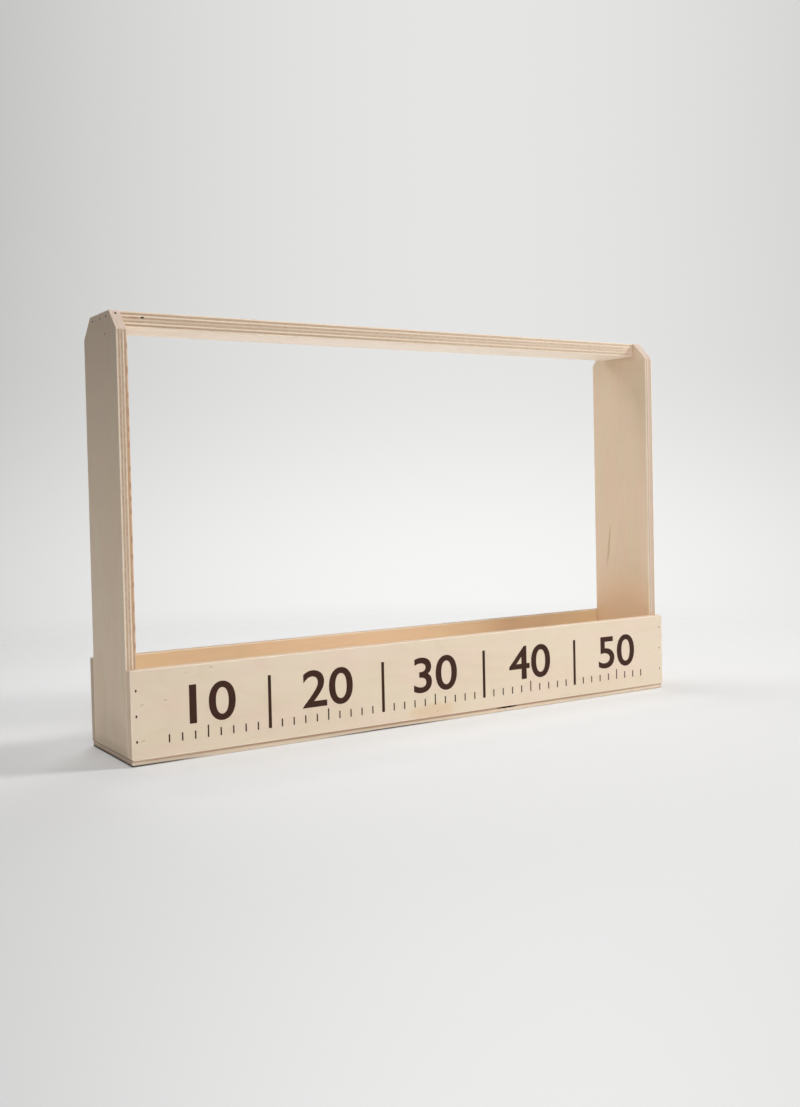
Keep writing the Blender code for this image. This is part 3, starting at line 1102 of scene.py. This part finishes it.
class CARRIER_OT_rule(Operator):
    """Half-metre rule printed on the front panel"""

    bl_idname = "carrier.rule"
    bl_label = "Printed rule"

    LAST_TICK = 238 * MM  # no tick lies further from the middle
    STRETCH = 1.15  # how much wider the numbers are than their font
    HALF_DEPTH = 0.01  # of a number 1 unit high, before it is scaled
    FONT_WELD = 0.008  # spacing below which a number's points are joined, in the same unit

    def execute(self, context):
        rule = context.scene.carrier_rule
        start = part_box("left_upright")[1].x
        shapes = []
        for centimetre in range(1, 50):
            x = start + centimetre * 10 * MM
            if abs(x) > self.LAST_TICK:
                continue
            if centimetre % 10 == 0:
                shapes.append(self.bar(rule, x, rule.bar, rule.high))
            else:
                height = rule.tick_height if centimetre % 5 else rule.half_height
                shapes.append(self.bar(rule, x, rule.tick, rule.low + height))
        for ten in range(1, 6):
            shapes.append(self.numeral(rule, str(10 * ten), start + (ten - 0.5) * 100 * MM))
        select_only(*shapes)
        bpy.ops.object.join()
        ink = name_last("printed_rule")
        with editing(ink, action="SELECT"):
            bpy.ops.mesh.remove_doubles(threshold=WELD)
            bpy.ops.mesh.normals_make_consistent(inside=False)
        dress(ink, ink_material(context.scene.carrier_colours), "print_ink")
        return {"FINISHED"}

    def bar(self, rule, x, width, top):
        """Upright bar of ink with softened corners."""
        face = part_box("front_panel")[0].y
        low = Vector((x - width / 2, face - rule.film, rule.low))
        high = Vector((x + width / 2, face + rule.film, top))
        made = block("bar", low, high)
        with editing(made, "EDGE"):
            pick(made, "edges", lambda edge: abs(edge.verts[0].co.y - edge.verts[1].co.y) > WELD)
            bpy.ops.mesh.bevel(offset=0.2 * MM, segments=3, affect="EDGES")
        return made

    def numeral(self, rule, words, middle):
        """Number whose lower edge stands clear above the ticks, fattened by moving its walls outwards."""
        bpy.ops.object.select_all(action="DESELECT")
        bpy.ops.object.text_add()
        text = name_last("number").data
        text.body = words
        text.align_x = "CENTER"
        text.size = 1
        text.extrude = self.HALF_DEPTH
        text.resolution_u = 8
        bpy.ops.object.convert(target="MESH")
        made = bpy.context.object
        with editing(made, action="SELECT"):
            bpy.ops.mesh.remove_doubles(threshold=self.FONT_WELD)
            pick(made, "faces", lambda face: abs(face.normal.z) < 0.5)
            bpy.ops.transform.shrink_fatten(value=rule.weight, use_even_offset=True)
        heights = [vertex.co.y for vertex in made.data.vertices]
        bottom = min(heights)
        scale = rule.numeral / (max(heights) - bottom)
        shrink = Matrix.Diagonal((scale * self.STRETCH, scale, rule.film / self.HALF_DEPTH, 1))
        turn = Matrix.Rotation(math.radians(90), 4, "X")
        base = Vector((middle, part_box("front_panel")[0].y, rule.high - rule.numeral - bottom * scale))
        made.data.transform(Matrix.Translation(base) @ turn @ shrink)
        return made


class CARRIER_OT_studio(Operator):
    """Floor, backdrop, lamps and camera"""

    bl_idname = "carrier.studio"
    bl_label = "Studio"

    def execute(self, context):
        studio = context.scene.carrier_studio
        self.add_floor(studio)
        self.add_world(context, studio)
        for name, place, target, width, height, power in (
            ("top_lamp", (0.05, 0.42, 0.89), (0.1, 0, 0.1), 0.42, 0.42, studio.top_power),
            ("side_lamp", (3.4, -1.4, 1.85), (0, 0, 0.1), 1.1, 1.1, studio.side_power),
            ("front_lamp", (-0.6, -3.6, 1.6), (0, 0, 0.1), 2.4, 1.8, studio.front_power),
            ("high_lamp", (0, 0, 3.0), (0, 0, 0), 2.4, 2.4, studio.high_power),
            ("floor_card", (0.1, 0.45, 0.002), (0.1, 0.45, 1), 0.75, 0.75, studio.card_power),
        ):
            self.add_lamp(context, name, place, target, width, height, power)
        self.add_camera(context)
        context.scene.view_settings.view_transform = "Standard"
        return {"FINISHED"}

    def seen(self, graph):
        """1 for a ray from the camera, also by way of a mirror or through glass, else 0."""
        rays = graph.outputs("LightPath")
        seen = graph.math("MAXIMUM", rays["Is Camera Ray"], rays["Is Glossy Ray"])
        return graph.math("MAXIMUM", seen, rays["Is Transmission Ray"])

    def add_floor(self, studio):
        """Round sheet of paper that fades into the backdrop further out, painted darker towards the left as
        painted shade, with a soft painted shadow in front of the carrier.
        """
        floor = add_shape(
            "floor", bpy.ops.mesh.primitive_circle_add,
            vertices=96, radius=8, fill_type="NGON", location=(0, 0, -0.3 * MM),
        )
        with editing(floor, action="SELECT"):
            for ring in (5, 2):
                bpy.ops.mesh.inset(thickness=ring, depth=0)
        material, graph, shader = new_material("floor_paper")
        place = graph.node("TexCoord", output="Object")
        x, y, _ = graph.split(place)
        # Painted shade: the paper grows darker towards the left.
        painted_falloff = graph.smooth(x, -0.22, -0.52, 1, 0.86)
        # Painted shadow: a soft dark band in front of the carrier, deepest towards the left.
        before = graph.smooth(y, -0.17, -0.10) * graph.smooth(y, -0.03, -0.10)
        beside = graph.smooth(x, -0.30, -0.24) * graph.smooth(x, 0.34, 0.24)
        painted_shadow = before * beside * graph.smooth(x, 0, -0.18, -0.065, -0.13) + 1
        shade = (graph.noise(place, 1.2) * 0.04 + 0.98) * painted_falloff * painted_shadow
        away = graph.vector_math("LENGTH", place, output="Value")
        graph.fill(shader, {
            "Base Color": graph.scaled(tuple(studio.floor), shade),
            "Roughness": graph.noise(place, 900, detail=3) * 0.1 + 0.8,
            "Specular IOR Level": 0.1,
            "Alpha": 1 - graph.smooth(away, 0.34, 1.05, 0.25, 1) * self.seen(graph),
        })
        floor.data.materials.append(material)

    def add_world(self, context, studio):
        """Paper where the camera looks, with painted shade that darkens it upwards and towards the sides, and
        a weak light from the left for all else.
        """
        world = bpy.data.worlds.new("studio")
        context.scene.world = world
        world.use_nodes = True
        world.node_tree.nodes.clear()
        graph = Graph(world.node_tree)
        way = graph.node("TexCoord", output="Generated")
        height = graph.split(way)[Z]
        # Painted shade on the paper: darker upwards, and darker away from its brightest way.
        level = graph.smooth(height, 0.12, -0.08, 0.785, 0.92) + graph.smooth(height, -0.2, -0.4, 0, 0.04)
        flat = graph.vector_math("NORMALIZE", graph.scaled(way, (1, 1, 0)))
        brightest = (0.593, 0.805, 0)
        middle = graph.vector_math("DOT_PRODUCT", flat, brightest, "Value")
        edge = graph.smooth(height, 0.3, -0.1, 0.695, 0.76)
        sides = graph.smooth(middle, 0.92, 1, edge, 1, kind="LINEAR")
        left = graph.vector_math("DOT_PRODUCT", way, (-1, 0, 0.05), "Value")
        lobe = graph.math("POWER", graph.math("MAXIMUM", left, 0), 2)
        light = graph.node("Background", {"Color": (1, 1, 1), "Strength": lobe * studio.fill})
        paper = graph.node("Background", {"Color": studio.backdrop, "Strength": level * sides})
        both = graph.node("MixShader", {0: self.seen(graph), 1: light, 2: paper})
        graph.put("OutputWorld", {"Surface": both})

    def add_lamp(self, context, name, place, target, width, height, power):
        """Lamp at a place in metres that looks at a target and doesn't show itself."""
        data = bpy.data.lights.new(name, "AREA")
        data.shape = "RECTANGLE"
        data.size = width
        data.size_y = height
        data.energy = power
        lamp = bpy.data.objects.new(name, data)
        lamp.location = place
        lamp.rotation_euler = (Vector(target) - Vector(place)).to_track_quat("-Z", "Y").to_euler()
        lamp.visible_camera = False
        context.scene.collection.objects.link(lamp)

    def add_camera(self, context):
        """Camera of the photograph: 800 by 1107 pixels, held low, in front and at the left."""
        frame_height = 1107
        focal_pixels = 1166.427
        centre_row = 522.011
        pitch, roll, yaw = (math.radians(angle) for angle in (-1.61962, 1.25689, -32.43258))
        data = bpy.data.cameras.new("camera")
        data.sensor_width = 36
        data.sensor_fit = "AUTO"
        data.lens = focal_pixels * data.sensor_width / frame_height
        data.shift_y = (centre_row - frame_height / 2) / frame_height
        data.clip_start = 0.01
        data.clip_end = 50
        camera = bpy.data.objects.new("camera", data)
        context.scene.collection.objects.link(camera)
        level = Matrix.Rotation(math.radians(90), 4, "X")
        turn = Matrix.Rotation(yaw, 4, "Z") @ Matrix.Rotation(pitch, 4, "X") @ Matrix.Rotation(roll, 4, "Y")
        camera.matrix_world = Matrix.Translation((-533.133 * MM, -835.350 * MM, 191.632 * MM)) @ turn @ level
        context.scene.camera = camera


STEPS = (
    CARRIER_OT_panels,
    CARRIER_OT_uprights,
    CARRIER_OT_handle,
    CARRIER_OT_bottom,
    CARRIER_OT_nails,
    CARRIER_OT_rule,
    CARRIER_OT_studio,
)
SETTINGS = {
    "carrier_boards": CarrierBoardSettings,
    "carrier_nails": CarrierNailSettings,
    "carrier_colours": CarrierColourSettings,
    "carrier_rule": CarrierRuleSettings,
    "carrier_studio": CarrierStudioSettings,
}


class CARRIER_PT_sidebar(Panel):
    """The carrier's steps and their settings"""

    bl_idname = "CARRIER_PT_sidebar"
    bl_label = "Bottle Carrier"
    bl_space_type = "VIEW_3D"
    bl_region_type = "UI"
    bl_category = "Carrier"

    def draw(self, context):
        for step in STEPS:
            self.layout.operator(step.bl_idname)
        for key, settings in SETTINGS.items():
            box = self.layout.box()
            for name in settings.__annotations__:
                box.prop(getattr(context.scene, key), name)


CLASSES = (*SETTINGS.values(), *STEPS, CARRIER_PT_sidebar)


def register():
    for kind in CLASSES:
        bpy.utils.register_class(kind)
    for key, settings in SETTINGS.items():
        setattr(bpy.types.Scene, key, PointerProperty(type=settings))


def unregister():
    for key in SETTINGS:
        delattr(bpy.types.Scene, key)
    for kind in reversed(CLASSES):
        bpy.utils.unregister_class(kind)


def main():
    register()
    bpy.ops.carrier.panels()
    bpy.ops.carrier.uprights()
    bpy.ops.carrier.handle()
    bpy.ops.carrier.bottom()
    bpy.ops.carrier.nails()
    bpy.ops.carrier.rule()
    bpy.ops.carrier.studio()


if __name__ == "__main__":
    main()
